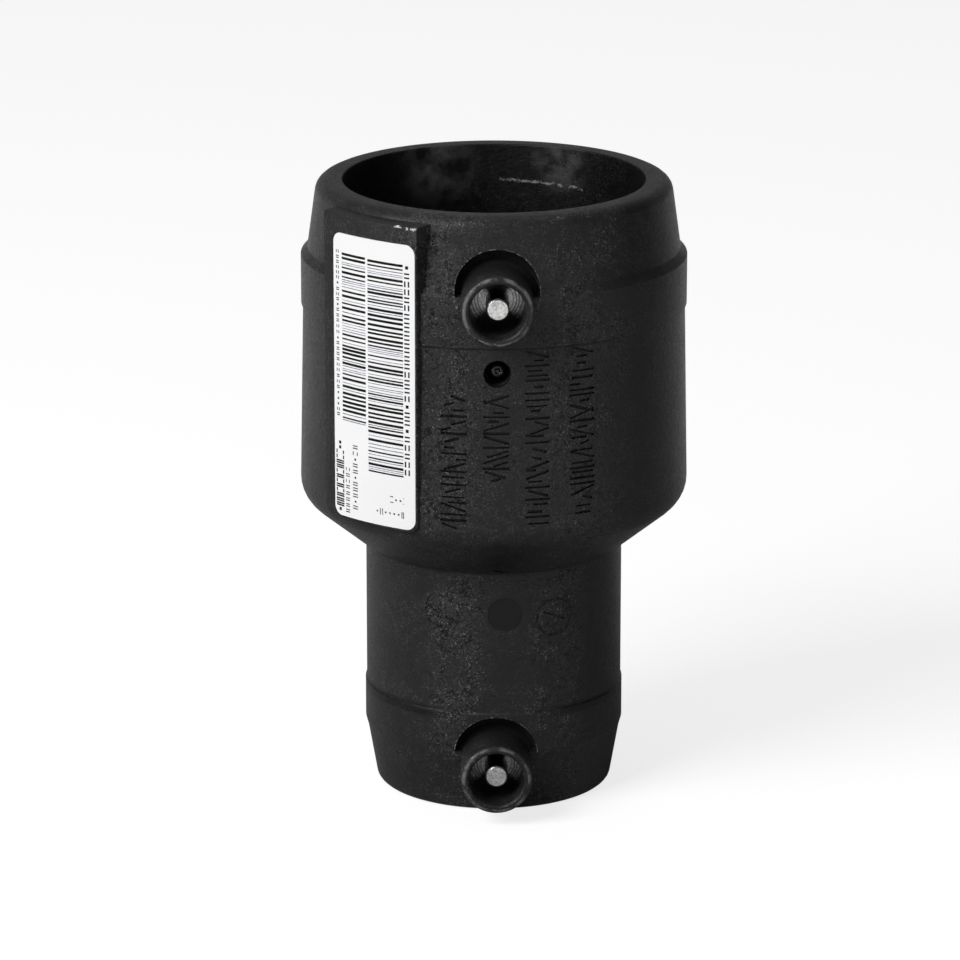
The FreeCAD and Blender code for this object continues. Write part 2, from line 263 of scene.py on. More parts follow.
def combine(piece, tool, operation, crossing=False):
    """Joins a tool shape to a piece, or cuts it out, and takes the tool away.

    crossing says that parts of one shape cross each other."""
    activate(piece)
    bpy.ops.object.modifier_add(type="BOOLEAN")
    step = piece.modifiers[-1]
    step.operation = operation
    step.solver = "EXACT"
    step.use_self = crossing
    step.object = tool
    bpy.ops.object.modifier_apply(modifier=step.name)
    bpy.data.objects.remove(tool)


def finish_shading(piece, degrees):
    activate(piece)
    bpy.ops.object.shade_smooth_by_angle(angle=math.radians(degrees))


def body_blank():
    """The turned form of the moulding: outer form, bores, coil seats, stops and waterway."""
    outline = rounded([
        (SMALL_BORE_R, 0, 0.25),
        (SMALL_MOUTH_R, 0, 1.3),
        (COLLAR_CHAMFER_R, COLLAR_CHAMFER_Z, 0.3),
        (COLLAR_R, COLLAR_BOTTOM, 0.2),
        (COLLAR_R, COLLAR_TOP, 0.12),
        (SMALL_BARREL_R, SMALL_BARREL_FOOT, 0.12),
        (SMALL_BARREL_R, NECK_Z, 0.9),
        (SHOULDER_R, SHOULDER_Z, 5.2),
        (BARREL_R, BARREL_TOP, 0.15),
        (BAND_R, BAND_FOOT, 0.15),
        (BAND_R, BAND_TOP, 0.35),
        (RIM_FOOT_R, RIM_FOOT_Z, 0.35),
        (RIM_R, LENGTH, 2.1),
        (LARGE_BORE_R, LENGTH, 0.25),
        (LARGE_BORE_R, LARGE_SEAT[1]),
        (LARGE_SEAT_R, LARGE_SEAT[1]),
        (LARGE_SEAT_R, LARGE_SEAT[0]),
        (LARGE_BORE_R, LARGE_SEAT[0]),
        (LARGE_BORE_R, LARGE_STOP_Z),
        (LARGE_WATERWAY_R, LARGE_STOP_Z, 0.3),
        (SMALL_WATERWAY_R, THROAT_Z, 1.5),
        (SMALL_WATERWAY_R, SMALL_STOP_Z, 0.3),
        (SMALL_BORE_R, SMALL_STOP_Z),
        (SMALL_BORE_R, SMALL_SEAT[1]),
        (SMALL_SEAT_R, SMALL_SEAT[1]),
        (SMALL_SEAT_R, SMALL_SEAT[0]),
        (SMALL_BORE_R, SMALL_SEAT[0]),
    ])
    return turned("coupler_moulding", outline + outline[:1], BODY_SEGMENTS)


def block(name, low, high):
    """A cube primitive at its size and place, in millimetres."""
    deselect()
    size = [(b - a) * MM for a, b in zip(low, high)]
    middle = [(a + b) / 2 * MM for a, b in zip(low, high)]
    bpy.ops.mesh.primitive_cube_add(size=1, location=middle, scale=size)
    piece = bpy.context.active_object
    piece.name = name
    bpy.ops.object.transform_apply(location=True, rotation=True, scale=True)
    return piece


def blocks(name, boxes):
    """Several cube primitives in one piece, each with its place, size and turn."""
    deselect()
    for i, (place, size, turn) in enumerate(boxes):
        bpy.ops.mesh.primitive_cube_add(
            size=1, location=Vector(place) * MM, rotation=turn, scale=Vector(size) * MM)
        if i == 0:
            piece = bpy.context.active_object
            piece.name = name
            bpy.ops.object.transform_apply(location=True, rotation=True, scale=True)
            bpy.ops.object.mode_set(mode="EDIT")
    bpy.ops.object.mode_set(mode="OBJECT")
    return piece


def bevel_edges(piece, wanted, width, segments):
    """Bevels the edges for which wanted(start, end) is true, in millimetres."""
    activate(piece)
    bpy.ops.object.mode_set(mode="EDIT")
    bpy.ops.mesh.select_mode(type="EDGE")
    bpy.ops.mesh.select_all(action="DESELECT")
    bpy.ops.object.mode_set(mode="OBJECT")
    for edge in piece.data.edges:
        start, end = (piece.data.vertices[v].co / MM for v in edge.vertices)
        edge.select = wanted(start, end)
    bpy.ops.object.mode_set(mode="EDIT")
    bpy.ops.mesh.bevel(offset=width * MM, segments=segments, affect="EDGES")
    bpy.ops.object.mode_set(mode="OBJECT")


def upright_turn(piece, angle):
    """Turns a finished shape about the pipe axis, and leaves its object at the origin."""
    activate(piece)
    piece.rotation_euler.z = angle
    bpy.ops.object.transform_apply(location=True, rotation=True, scale=True)


def runs_back(a, b):
    """An edge that runs from the front to the back."""
    return abs(a.z - b.z) < 0.1 and abs(a.x - b.x) < 0.1


def round_bar(radius, length, centre_y):
    """An upright cylinder, fine enough to bend the pad and the label to."""
    deselect()
    bpy.ops.mesh.primitive_cylinder_add(
        vertices=CURVE_SEGMENTS, radius=radius * MM, depth=length * MM, location=(0, centre_y * MM, 0))
    bar = bpy.context.active_object
    bpy.ops.object.transform_apply(location=True, rotation=True, scale=True)
    return bar


def pad_block():
    """The label pad: a curved, slightly proud panel with soft edges and a chipped top edge."""
    half = PAD_WIDTH / 2
    panel = block("pad_panel", (-half, -PAD_FACE_R - 1, PAD_FOOT), (half, -PAD_ROOT_R, PAD_TOP))
    bevel_edges(panel, lambda a, b: runs_back(a, b) and a.z < PAD_FOOT + 1, PAD_CORNER_R, 10)
    centre_y = PAD_CURVE_R - PAD_FACE_R
    combine(panel, round_bar(PAD_CURVE_R, 2 * LENGTH, centre_y), "INTERSECT")

    def on_face(point):
        return abs(math.hypot(point.x, point.y - centre_y) - PAD_CURVE_R) < 0.01

    def outer_edge(a, b):
        upright = abs(a.x - b.x) < 0.01
        return on_face(a) and on_face(b) and not (upright and abs(a.x) < half - PAD_CORNER_R - 0.1)

    bevel_edges(panel, outer_edge, PAD_EDGE, 2)
    for x, lean, tilt in CHIPS:
        chip = blocks("chip", [((x, CHIP_Y, PAD_TOP + 0.05), CHIP_SIZE, (lean, tilt, 0.1))])
        combine(panel, chip, "DIFFERENCE")
    upright_turn(panel, PAD_ANGLE)
    return panel


def pocket_block(t, surface):
    """The arched pocket's space: a round bar cut off flat at the pocket's foot."""
    deselect()
    reach = surface + 1
    middle = (reach + t["pocket_floor"]) / 2
    bpy.ops.mesh.primitive_cylinder_add(
        vertices=SHROUD_SEGMENTS, radius=POCKET_R * MM, depth=(reach - t["pocket_floor"]) * MM,
        location=(0, -middle * MM, (t["z"] + POCKET_RISE) * MM), rotation=(math.pi / 2, 0, 0))
    bar = bpy.context.active_object
    bpy.ops.object.transform_apply(location=True, rotation=True, scale=True)
    bpy.ops.object.mode_set(mode="EDIT")
    bpy.ops.mesh.select_all(action="SELECT")
    bpy.ops.mesh.bisect(
        plane_co=(0, 0, t["foot"] * MM), plane_no=(0, 0, 1), use_fill=True, clear_inner=True)
    bpy.ops.object.mode_set(mode="OBJECT")
    return bar


def shroud_block(t):
    """The round shroud with a soft lip and a flared root."""
    front = t["front"]
    outline = rounded([
        (0, t["root"]),
        (SHROUD_R + 1, t["root"]),
        (SHROUD_R + 1, t["pocket_floor"]),
        (SHROUD_R, t["pocket_floor"] + 1, 0.8),
        (SHROUD_R, front, 0.8),
        (0, front),
    ])
    return turned("shroud", outline, SHROUD_SEGMENTS, t["z"])


def shroud_space(t):
    """The space in a shroud, down to the back of the pin's flange."""
    front = t["front"]
    outline = rounded([
        (0, t["back"]),
        (SHROUD_BORE_R, t["back"]),
        (SHROUD_BORE_R, front - 0.35, 0.4),
        (SHROUD_BORE_R + 0.4, front + 0.05),
        (SHROUD_BORE_R + 0.4, front + 1),
        (0, front + 1),
    ])
    return turned("shroud_space", outline, SHROUD_SEGMENTS, t["z"])


def indicator_space():
    outline = rounded([
        (0, INDICATOR_FOOT),
        (INDICATOR_SPACE_R, INDICATOR_FOOT),
        (INDICATOR_SPACE_R, BARREL_R - 0.1, 0.1),
        (2.32, BARREL_R + 0.05),
        (2.32, BARREL_R + 1),
        (0, BARREL_R + 1),
    ])
    return turned("indicator_space", outline, 96, INDICATOR_Z)


def barrel_strokes():
    """Plain strokes in columns up the barrel, as a shape to cut out to an even depth."""
    chance = random.Random(11)
    strokes = []
    for middle, width, top, bottom in STROKE_COLUMNS:
        z = top
        while z > bottom:
            length = width * chance.choice((1.0, 1.0, 0.85, 0.6, 0.4))
            aside = chance.uniform(-1, 1) * (width - length) / 2
            tilt = chance.choice((0, 0, 0, 0.3, -0.3))
            strokes.append((math.radians(middle) + aside / BARREL_R, z, length, tilt))
            z -= chance.uniform(0.7, 1.35)
    boxes = []
    for angle, z, length, tilt in strokes:
        place = (math.sin(angle) * BARREL_R, -math.cos(angle) * BARREL_R, z)
        boxes.append((place, (length, 4, STROKE_LINE * chance.uniform(0.75, 1.3)), (0, tilt, angle)))
    piece = blocks("strokes", boxes)
    core = turned("core", [
        (0, STROKE_FOOT),
        (SHOULDER_R - STROKE_DEPTH, STROKE_FOOT),
        (BARREL_R - STROKE_DEPTH, BARREL_TOP),
        (0, BARREL_TOP),
    ], BODY_SEGMENTS)
    combine(piece, core, "DIFFERENCE", crossing=True)
    return piece


def let_in(piece, mark, height, depth):
    """Cuts a mark into the small barrel to an even depth."""
    floor_r, low, high = SMALL_BARREL_R - depth, height - 9, height + 9
    core = turned("core", [(0, low), (floor_r, low), (floor_r, high), (0, high)], BODY_SEGMENTS)
    combine(mark, core, "DIFFERENCE", crossing=True)
    combine(piece, mark, "DIFFERENCE")


def small_barrel_marks(piece):
    """Mould marks on the small barrel: two plain rounds and three short lines."""
    for radius, angle, height, depth in ROUNDS:
        mark = turned("round_mark", [(0, 18), (radius, 18), (radius, 24), (0, 24)], 96, height)
        upright_turn(mark, math.radians(angle))
        let_in(piece, mark, height, depth)
    boxes = []
    for angle, height, length, tilt in HANDS:
        turn = math.radians(angle)
        place = (math.sin(turn) * SMALL_BARREL_R, -math.cos(turn) * SMALL_BARREL_R, height)
        boxes.append((place, (length, 4, HAND_LINE), (0, tilt, turn)))
    let_in(piece, blocks("hands", boxes), 37.0, HAND_DEPTH)


def moulding():
    """The one-piece moulding. The pad comes last, because cuts made after it fail."""
    piece = body_blank()
    combine(piece, pocket_block(UPPER, BAND_R), "DIFFERENCE")
    combine(piece, pocket_block(LOWER, COLLAR_R), "DIFFERENCE")
    for t in (UPPER, LOWER):
        combine(piece, shroud_block(t), "UNION")
        combine(piece, shroud_space(t), "DIFFERENCE")
    combine(piece, indicator_space(), "DIFFERENCE")
    combine(piece, barrel_strokes(), "DIFFERENCE")
    small_barrel_marks(piece)
    combine(piece, pad_block(), "UNION")
    finish_shading(piece, 32)
    return piece


def ring_groove(radius, level, width, slope, depth):
    """Outline points of one turned groove, from its inner edge to its outer one."""
    floor, end = level - depth, radius + width
    return [(radius, level), (radius + slope, floor), (end - slope, floor), (end, level)]


def contact_pin(name, t):
    """A turned contact: rounded pin, grooved flange, and the stem that holds the wire's end."""
    tip, floor, step, end = t["front"] - PIN_RECESS, t["floor"], t["floor"] - 0.3, t["stem_end"]
    outline = [(0, tip), (PIN_R - 0.27, tip, 0.12), (PIN_R, tip - 0.27, 0.12), (PIN_R, floor)]
    for groove in (2.35, 2.8):
        outline += ring_groove(groove, floor, 0.27, 0.07, 0.06)
    outline += [(3.3, floor, 0.06), (3.3, step)]
    for groove in (3.5, 3.85, 4.2):
        outline += ring_groove(groove, step, 0.2, 0.06, 0.05)
    outline += [(SHROUD_BORE_R, step), (SHROUD_BORE_R, t["back"]), (1.2, t["back"]), (1.2, end)]
    outline += [(0.58, end), (0.58, end + 1.3), (0, end + 1.3)]
    piece = turned(name, rounded(outline), 96, t["z"])
    finish_shading(piece, 30)
    return piece


def indicator():
    """The indicator's small pin, with a dimple in its tip."""
    outline = rounded([
        (0, INDICATOR_FOOT),
        (1.95, INDICATOR_FOOT),
        (1.95, 28.9, 0.4),
        (1.25, 29.3, 0.3),
        (1.25, 30.0, 0.5),
        (0.6, 30.25, 0.4),
        (0, 29.75),
    ])
    piece = turned("indicator_pin", outline, 64, INDICATOR_Z)
    finish_shading(piece, 40)
    return piece


def coil_points(radius, start, pitch, turns, steps):
    """Points down or up a coil that starts at the front and turns towards +X."""
    points = []
    for i in range(1, int(turns * steps) + 1):
        angle = 2 * math.pi * i / steps
        points.append((radius * math.sin(angle), -radius * math.cos(angle), start + pitch * i / steps))
    return points


def bent(corner, before, after, reach):
    """The corner of a bent wire as five points of a quarter bend."""
    corner, before, after = Vector(corner), Vector(before), Vector(after)
    start = corner + (before - corner).normalized() * reach
    end = corner + (after - corner).normalized() * reach
    points = []
    for k in range(5):
        t = k / 4
        points.append(start * (1 - t) ** 2 + corner * 2 * t * (1 - t) + end * t ** 2)
    return points


def winding():
    """One wire: pin to large coil, down the link in the wall, and the small coil to the other pin."""
    upper_r, lower_r = UPPER["coil_r"], LOWER["coil_r"]
    large = coil_points(upper_r, UPPER["z"], LARGE_PITCH, LARGE_TURNS, 64)
    small = coil_points(lower_r, LOWER["z"], SMALL_PITCH, SMALL_TURNS, 48)[::-1]
    link = [
        large[-1],
        (0, LINK_LARGE_R, 71.45),
        (0, LINK_LARGE_R, LARGE_STOP_Z),
        (0, LINK_SMALL_R, THROAT_Z),
        (0, LINK_SMALL_R, 22.7),
        small[0],
    ]
    upper_lead = (0, -upper_r - LEAD, UPPER["z"])
    lower_lead = (0, -lower_r - LEAD, LOWER["z"])
    points = [upper_lead, *bent((0, -upper_r, UPPER["z"]), upper_lead, large[3], LEAD_BEND), *large[1:-2]]
    points += bent(large[-1], large[-4], link[1], WIRE_BEND)
    for i in range(1, 5):
        points += bent(link[i], link[i - 1], link[i + 1], WIRE_BEND)
    points += bent(small[0], link[4], small[3], WIRE_BEND)
    points += small[2:-1]
    points += [*bent((0, -lower_r, LOWER["z"]), small[-3], lower_lead, LEAD_BEND), lower_lead]
    piece = drawn_chain("winding", points)
    bpy.ops.object.mode_set(mode="OBJECT")
    bpy.ops.object.convert(target="CURVE")
    piece = bpy.context.active_object
    piece.data.bevel_depth = WIRE_R * MM
    piece.data.bevel_resolution = 3
    piece.data.use_fill_caps = True
    bpy.ops.object.convert(target="MESH")
    bpy.ops.object.mode_set(mode="EDIT")
    bpy.ops.mesh.select_all(action="SELECT")
    bpy.ops.mesh.remove_doubles(threshold=MERGE)
    bpy.ops.mesh.normals_make_consistent(inside=False)
    bpy.ops.object.mode_set(mode="OBJECT")
    finish_shading(piece, 40)
    return piece


def bent_to_pad(piece, inner, outer):
    """Keeps what lies between two heights over the pad's curved face, while it faces -Y."""
    for height, operation in ((outer, "INTERSECT"), (inner, "DIFFERENCE")):
        bar = round_bar(PAD_CURVE_R + height, 3 * LENGTH, PAD_CURVE_R - PAD_FACE_R)
        combine(piece, bar, operation, crossing=True)
    upright_turn(piece, PAD_ANGLE)
    return piece


def label_sheet():
    """The film label with its round corners, bent to the pad's face."""
    sheet = block(
        "label_sheet", (LABEL_LEFT, -PAD_FACE_R - 1, LABEL_FOOT), (LABEL_RIGHT, -PAD_ROOT_R, LABEL_TOP))
    bevel_edges(sheet, runs_back, LABEL_CORNER_R, 10)
    return bent_to_pad(sheet, 0, LABEL_THICKNESS)


def printed(name, marks):
    """Printed patches, each (left, right, bottom, top), as a thin film of ink on the label."""
    middle_y = -(PAD_FACE_R + 1 + PAD_ROOT_R) / 2
    depth = PAD_FACE_R + 1 - PAD_ROOT_R
    boxes = []
    for left, right, bottom, top in marks:
        place = ((left + right) / 2, middle_y, (bottom + top) / 2)
        boxes.append((place, (right - left, depth, top - bottom), (0, 0, 0)))
    return bent_to_pad(blocks(name, boxes), LABEL_THICKNESS, LABEL_THICKNESS + PRINT_THICKNESS)


def tick_cell(left, right, top, height, line, chance):
    """Two plain ticks side by side, two one above the other, or a small square, in a cell."""
    upright = [(left, left + line, top - height, top), (right - line, right, top - height, top)]
    level = [(left, right, top - line, top), (left, right, top - height, top - height + line)]
    middle = (left + right) / 2
    square = [(middle - line, middle + line, top - height / 2 - line, top - height / 2 + line)]
    return chance.choice((upright, upright, level, level, level, square))


def print_marks():
    """The print's patches by ink: dark bars and ticks, and pale thin lines between the bars."""
    chance = random.Random(3)
    dark, pale = [], []
    for left, right, top, bottom in BAR_COLUMNS:
        z = top
        while z > bottom:
            if chance.random() < DARK_SHARE:
                line = chance.choice(DARK_LINES)
                dark.append((left, right, z - line, z))
            else:
                line = chance.choice(PALE_LINES)
                pale.append((left, right, z - line, z))
            z -= line + chance.choice(BAR_GAPS)
    for left, right, top, bottom, height, line, gap in TICK_COLUMNS:
        z = top
        while z > bottom + height:
            dark += tick_cell(left, right, z, height, line, chance)
            z -= height + gap * chance.uniform(0.8, 1.2)
    for left, right, top, bottom in FOOT_ROWS:
        x = left
        while x < right:
            dark += tick_cell(x, min(x + FOOT_CELL, right), top, top - bottom, FOOT_LINE, chance)
            x += FOOT_STEP
    return dark, pale


class Value:
    """A shader socket that Python's arithmetic works on."""

    def __init__(self, graph, socket):
        self.graph = graph
        self.socket = socket

    def maths(self, operation, *others):
        return self.graph.node("ShaderNodeMath", {"operation": operation}, [self, *others])

    def __add__(self, other):
        return self.maths("ADD", other)

    __radd__ = __add__

    def __mul__(self, other):
        return self.maths("MULTIPLY", other)

    __rmul__ = __mul__

    def __sub__(self, other):
        return self.maths("SUBTRACT", other)

    def __rsub__(self, other):
        return self.graph.node("ShaderNodeMath", {"operation": "SUBTRACT"}, [other, self])

    def __truediv__(self, other):
        return self.maths("DIVIDE", other)

    def root(self):
        return self.maths("SQRT")

    def squared(self):
        return self.maths("MULTIPLY", self)


class Graph:
    """The nodes of a material or of the studio's world."""

    def __init__(self, owner, shader, places):
        owner.use_nodes = True
        self.owner = owner
        self.tree = owner.node_tree
        self.shader = self.tree.nodes[shader]
        self.places = self.node("ShaderNodeTexCoord", {}, {}, places)

    def node(self, kind, settings, inputs, output=0):
        node = self.tree.nodes.new(kind)
        for name, value in settings.items():
            if name == "stops":
                ramp = node.color_ramp.elements
                while len(ramp) < len(value):
                    ramp.new(0.5)
                for element, (at, colour) in zip(ramp, value):
                    element.position = at
                    element.color = colour
            else:
                setattr(node, name, value)
        pairs = inputs.items() if isinstance(inputs, dict) else enumerate(inputs)
        for name, value in pairs:
            if isinstance(value, Value):
                self.tree.links.new(value.socket, node.inputs[name])
            else:
                node.inputs[name].default_value = value
        return Value(self, node.outputs[output])

    def noise(self, size_mm, detail=2.0, rough=0.5):
        return self.node("ShaderNodeTexNoise", {}, {
            "Vector": self.places, "Scale": 1 / (size_mm * MM), "Detail": detail, "Roughness": rough})

    def axes(self):
        """The place along x, y and z."""
        return [self.node("ShaderNodeSeparateXYZ", {}, [self.places], i) for i in range(3)]

    def off(self, value, middle):
        """How far a value is from a middle one."""
        return self.node("ShaderNodeMath", {"operation": "ABSOLUTE"}, [value - middle])

    def away(self, centre_mm):
        """The distance from a point."""
        centre = Vector(centre_mm) * MM
        return self.node("ShaderNodeVectorMath", {"operation": "DISTANCE"}, [self.places, centre], 1)

    def range(self, value, low, high, to_low=0.0, to_high=1.0):
        return self.node("ShaderNodeMapRange", {}, [value, low, high, to_low, to_high])

    def near(self, centre_mm, reach_mm, fade_mm):
        """1 within a reach of a point, fading to 0."""
        return self.range(self.away(centre_mm), reach_mm * MM, (reach_mm + fade_mm) * MM, 1.0, 0.0)

    def band(self, value, middle_mm, half_mm):
        """1 where a length is about a middle value, fading to 0 half a band away."""
        return self.range(self.off(value, middle_mm * MM), half_mm * 0.5 * MM, half_mm * MM, 1.0, 0.0)

    def far(self, centre_mm, reach_mm, fade_mm):
        return 1 - self.near(centre_mm, reach_mm, fade_mm)

    def round_about(self, levels):
        """A level that changes with the direction from the pipe axis, in degrees from the front to +X."""
        x, y, z = self.axes()
        angle = self.node("ShaderNodeMath", {"operation": "ARCTAN2"}, [x, -1 * y])
        stops = [((degrees + 180) / 360, grey(level)) for degrees, level in levels]
        return self.node("ShaderNodeValToRGB", {"stops": stops}, [self.range(angle, -math.pi, math.pi)])

    def blend(self, factor, first, second):
        node = self.tree.nodes.new("ShaderNodeMix")
        node.data_type = "RGBA"
        for socket, value in ((0, factor), (6, first), (7, second)):
            if isinstance(value, Value):
                self.tree.links.new(value.socket, node.inputs[socket])
            else:
                node.inputs[socket].default_value = value
        return Value(self, node.outputs[2])

    def bump(self, height, distance_mm, strength):
        return self.node("ShaderNodeBump", {}, {
            "Height": height, "Distance": distance_mm * MM, "Strength": strength})

    def feed(self, **sockets):
        for name, value in sockets.items():
            socket = self.shader.inputs[name.replace("_", " ")]
            if isinstance(value, Value):
                self.tree.links.new(value.socket, socket)
            else:
                socket.default_value = value


def finish(name):
    return Graph(bpy.data.materials.new(name), "Principled BSDF", "Object")


def grey(level):
    return (level, level, level, 1)


def pitting_sheen_and_shade(g, smooth_round):
    """The pitted stripes up the front, where the studio's reflection falls: how pitted it is, with a painted
    sheen, pale flecks as painted glints, and dark pits and creases as painted shade.
    """
    stripes = g.round_about((
        (-180, 0.5), (-60, 0.3), (-34, 0.25), (-24, 1.0), (-9, 0.9), (-2, 0.25),
        (13, 0.3), (20, 1.0), (36, 0.9), (46, 0.2), (120, 0.3), (180, 0.5),
    ))
    rough_round = g.near((-9.4, -19.5, 35.2), 2.6, 1.2)
    # painted sheen: the pitted patches follow the lit stripes, and their paler tone stands in for reflected
    # light
    patch = g.range(g.noise(6.0, 3.0), 0.36, 0.56, 0.25, 1.0) * stripes
    patch = patch * smooth_round + rough_round * 0.5
    fleck_patches = g.range(g.noise(1.6, 2.0), 0.40, 0.55, 0.1, 1.0)
    # pale flecks: painted glints where the reflection falls
    pale = g.range(g.noise(0.3, 2.0, 0.7), 0.56, 0.61) * fleck_patches * patch
    # dark pits: painted shade in the pits
    dark = g.range(g.noise(0.42, 2.0, 0.6), 0.42, 0.36) * patch
    worm = g.off(g.noise(1.3, 3.0, 0.6), 0.5)
    # creases darkened as painted shade
    crease = g.range(worm, 0.032, 0.015) * g.range(g.noise(1.9, 2.0), 0.50, 0.56) * patch
    return patch, pale, dark, crease


def lettering_patches(g, z):
    """Dark patches with pale outlines among the strokes on the large barrel; the pale outlines are painted
    highlights.
    """
    marked = g.round_about(((-180, 0), (-21, 0), (-19, 1), (32, 1), (34, 0), (180, 0)))
    marked = marked * g.band(z, 68.0, 31.0) * g.range(g.noise(2.8, 2.0), 0.48, 0.54)
    grain = g.noise(0.6, 3.0, 0.7)
    # pale outlines: painted highlights round the dark patches
    outline = g.range(g.off(grain, 0.555), 0.018, 0.008) * marked
    dark_patch = g.range(grain, 0.575, 0.59) * marked
    return outline, dark_patch


def stroke_floor_shade(g, x, z, out_r):
    """1 on the floors of the strokes, which lie under the barrel's skin; these floors get painted shade."""
    floors = g.range(out_r + (z - 0.0511) * 0.0201, 0.03255, 0.03245) * g.range(out_r, 0.0312, 0.0313)
    floors = floors * g.range(z, 0.0523, 0.0528) * g.range(z, 0.0826, 0.0824)
    return floors * g.range(x, 0.0189, 0.0187) * g.range(x, -0.0115, -0.0113)


def pocket_highlights_and_shade(g, x, y, z, out_r):
    """Round the terminals: pale burrs on the pockets' edges with painted highlights, a painted highlight
    ring on the polished lips, and painted shade deep in the pockets.
    """
    front = g.range(y, 0.0, -0.001)
    skin_r = out_r + g.range(z, 0.0921, 0.0933, 0, 0.00112) + g.range(z, 0.0933, LENGTH * MM, 0, 0.00158)
    burr_highlight, polish_highlight, pocket_shade = 0, 0, 0
    for t, surface_r in ((UPPER, BAND_R), (LOWER, COLLAR_R)):
        arch = (x * x + (z - (t["z"] + POCKET_RISE) * MM).squared()).root()
        edge = g.band(arch, POCKET_R + 0.03, 0.14)
        edge = edge * g.range(skin_r, (surface_r - 0.3) * MM, (surface_r - 0.1) * MM)
        # painted highlight along the pocket's arched edge
        burr_highlight = burr_highlight + edge * front
        inside = g.range(arch, (POCKET_R + 0.02) * MM, (POCKET_R - 0.05) * MM) * front
        deep = g.range(out_r, (surface_r - 0.1) * MM, (surface_r + 4.2) * MM, 1.0, 0.1)
        # painted shade deep in the pocket
        pocket_shade = pocket_shade + inside * deep * g.range(z, (t["z"] + 1.5) * MM, (t["z"] + 3.5) * MM)
        lip = (x * x + (z - t["z"] * MM).squared()).root()
        foremost = g.range(y, -(t["front"] - 0.8) * MM, -(t["front"] - 0.4) * MM)
        # painted highlight ring on the shroud's lip
        polish_highlight = polish_highlight + g.band(lip, 5.5, 0.34) * foremost
    burr_highlight = burr_highlight * g.range(g.noise(0.5, 2.0, 0.7), 0.50, 0.60)
    return burr_highlight, polish_highlight, pocket_shade


def pad_chip_glint(g, wavy, out_r):
    """The chip along the pad's top edge: pale as stress-whitened plastic, partly a painted glint."""
    chip = g.near((-14.9, -29.5, PAD_TOP), 1.9, 0.3) * g.band(wavy, PAD_TOP - 0.25, 0.2)
    return chip * g.range(out_r, 0.0324, 0.0326) * g.range(g.noise(0.7, 2.0), 0.42, 0.5)


def socket_shade_light_and_scratch(g, x, y, z, out_r, wavy):
    """In the large socket: painted shade on the wall, a pale haze of painted light near the back rim, and
    one long scratch at the back.
    """
    # the socket's wall, which gets painted shade
    wall = g.range(out_r, 0.02545, 0.0254) * g.range(z, 0.0555, 0.056)
    back = wall * g.range(y, 0.0, 0.001)
    # painted light: pale haze near the back rim
    haze = g.near((-9.7, 23.3, 101.8), 1.5, 6.5) + g.near((12.0, 22.4, 102.0), 1.0, 5.0)
    haze = haze * back * g.range(g.noise(3.0, 3.0), 0.35, 0.6)
    scratch = g.band(wavy + x * 0.043, 98.6, 0.3) * g.range(x, 0.0012, 0.0015) * g.range(x, 0.0156, 0.0153)
    scratch = scratch * back * g.range(g.noise(0.8, 3.0, 0.7), 0.45, 0.52)
    return wall, haze, scratch


def black_polyethylene():
    """Moulded black polyethylene: satin and pitted in patches, with painted sheen, glints and highlights on
    the flecks, pocket edges, lips and chip, and painted shade in the pits, strokes, pockets, socket and
    under the collar's step.
    """
    g = finish("black_polyethylene")
    x, y, z = g.axes()
    out_r = (x * x + y * y).root()
    smooth_round = g.far((1.5, -21.6, 35.1), 2.7, 0.3)
    patch, pale, dark, crease = pitting_sheen_and_shade(g, smooth_round)
    outline, dark_patch = lettering_patches(g, z)
    burr_highlight, polish_highlight, pocket_shade = pocket_highlights_and_shade(g, x, y, z, out_r)
    wavy = z + (g.noise(0.9, 2.0) - 0.5) * 0.001
    wall, haze, scratch = socket_shade_light_and_scratch(g, x, y, z, out_r, wavy)
    # painted shade: a dark band under the collar's top step, at the sides
    step_shade = g.band(z, 17.4, 1.2) * g.range(y, -0.0208, -0.0185)
    ring = g.band(g.away((9.85, -19.28, 34.1)), 3.15, 0.26) * g.range(out_r, 0.0213, 0.0214)
    ring = ring * g.range(g.noise(0.8, 2.0), 0.35, 0.5)
    tone = g.blend(g.noise(14.0, 3.0), (0.0085, 0.0085, 0.009, 1), (0.013, 0.013, 0.0135, 1))
    for share, level in (
        # painted sheen on the pitted stripes
        (patch * 0.7, 0.026),
        # painted shade in the pits
        (dark * 0.9, 0.0015),
        # painted glints on the flecks, and painted highlights on the pale outlines
        (pale * 0.95 + outline * 0.5, 0.16),
        # painted shade in the creases, and the dark patches among the strokes
        (crease * 0.95 + dark_patch * 0.9, 0.001),
        # painted highlight ring on the shroud lips
        (polish_highlight * g.range(g.noise(2.6, 2.0), 0.42, 0.58, 0.05, 0.9), 0.15),
        # painted shade on the stroke floors and under the collar's top step
        (stroke_floor_shade(g, x, z, out_r) * 0.95 + step_shade * 0.8, 0.0015),
        ((1 - smooth_round) * 0.7 + ring * 0.9, 0.003),
        # painted shade over the large socket's wall
        (wall * 0.93, 0.0005),
        # painted light haze at the socket's back
        (haze * 0.75, 0.07),
        # painted shade in the pockets
        (pocket_shade * 0.9, 0.001),
        # pale burrs with painted highlights, and the pale scratch in the socket
        (burr_highlight * 0.8 + scratch * 0.8, 0.22),
        # the chip's pale colour, partly a painted glint
        (pad_chip_glint(g, wavy, out_r), 0.55),
    ):
        tone = g.blend(share, tone, grey(level))
    g.feed(Base_Color=tone, Specular_IOR_Level=0.25)
    g.feed(Roughness=g.range(g.noise(0.45, 3.0, 0.6), 0.3, 0.7, 0.32, 0.48) - polish_highlight * 0.24 + pocket_shade * 0.4)
    height = (g.noise(0.32, 3.0, 0.65) + g.noise(1.0, 3.0, 0.7) * 1.5) * (patch * 0.9 + 0.1)
    g.feed(Normal=g.bump(height + pale * 0.6 - dark * 0.8 - crease - dark_patch - ring, 0.16, 0.9))
    return g.owner


